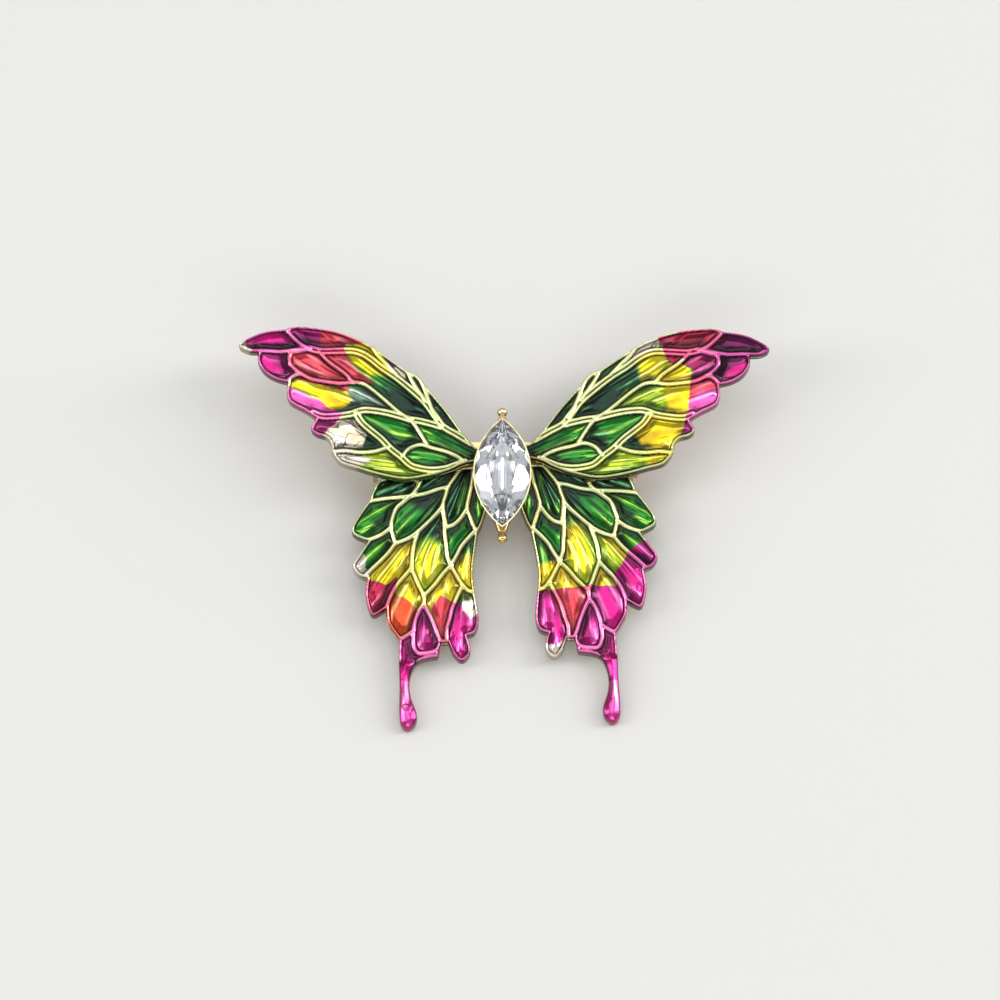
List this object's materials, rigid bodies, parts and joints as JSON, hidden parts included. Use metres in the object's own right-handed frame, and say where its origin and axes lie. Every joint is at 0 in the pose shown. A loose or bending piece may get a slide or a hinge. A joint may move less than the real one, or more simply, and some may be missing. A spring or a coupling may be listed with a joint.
{
  "type": "brooch",
  "caption": "Butterfly brooch with lacquered cast wings around a clear navette stone, on a hinged needle with a roller catch.",
  "frame": {"origin": "middle of the brooch's outline, on the surface that it lies on, face up", "axes": "+X across the wings, +Y towards the head, +Z out of the garment towards the viewer"},
  "size_m": [0.0526, 0.0401, 0.0098],
  "materials": {
    "gold_plate": "bright pale gold plating on a cast alloy",
    "forewing_lacquer": "translucent glossy lacquer, magenta at the tip, yellow, then green at the root",
    "hindwing_lacquer": "translucent glossy lacquer, green at the root, yellow, then magenta at the tail",
    "clear_stone": "polished faceted glass",
    "silver_foil": "silvered foil behind the stone",
    "pin_steel": "bright drawn steel wire"
  },
  "bodies": {
    "brooch_body": {"left_forewing_casting": "gold_plate", "right_forewing_casting": "gold_plate", "left_hindwing_casting": "gold_plate", "right_hindwing_casting": "gold_plate", "left_forewing_enamel": "forewing_lacquer", "right_forewing_enamel": "forewing_lacquer", "left_hindwing_enamel": "hindwing_lacquer", "right_hindwing_enamel": "hindwing_lacquer", "thorax_bar": "gold_plate", "head_bead": "gold_plate", "tail_bead": "gold_plate", "stone_setting": "gold_plate", "stone_foil": "silver_foil", "marquise_stone": "clear_stone", "left_riser_solder": "gold_plate", "right_riser_solder": "gold_plate", "left_seam_solder": "gold_plate", "right_seam_solder": "gold_plate", "pin_base_bar": "gold_plate", "hinge_bracket": "gold_plate", "hinge_rivet": "pin_steel", "catch_housing": "gold_plate"},
    "needle": {"pin_needle": "pin_steel"},
    "roller": {"catch_roller": "gold_plate"}
  },
  "joints": [
    {"name": "needle_swing", "type": "hinge", "parent": "brooch_body", "child": "needle", "pos_m": [-0.0117, 0.00765, 0.0015], "axis": [0, 1, 0], "range_deg": [0, 100]},
    {"name": "roller_turn", "type": "hinge", "parent": "brooch_body", "child": "roller", "pos_m": [0.012, 0.00765, 0.0015], "axis": [1, 0, 0], "range_deg": [0, 90]}
  ]
}
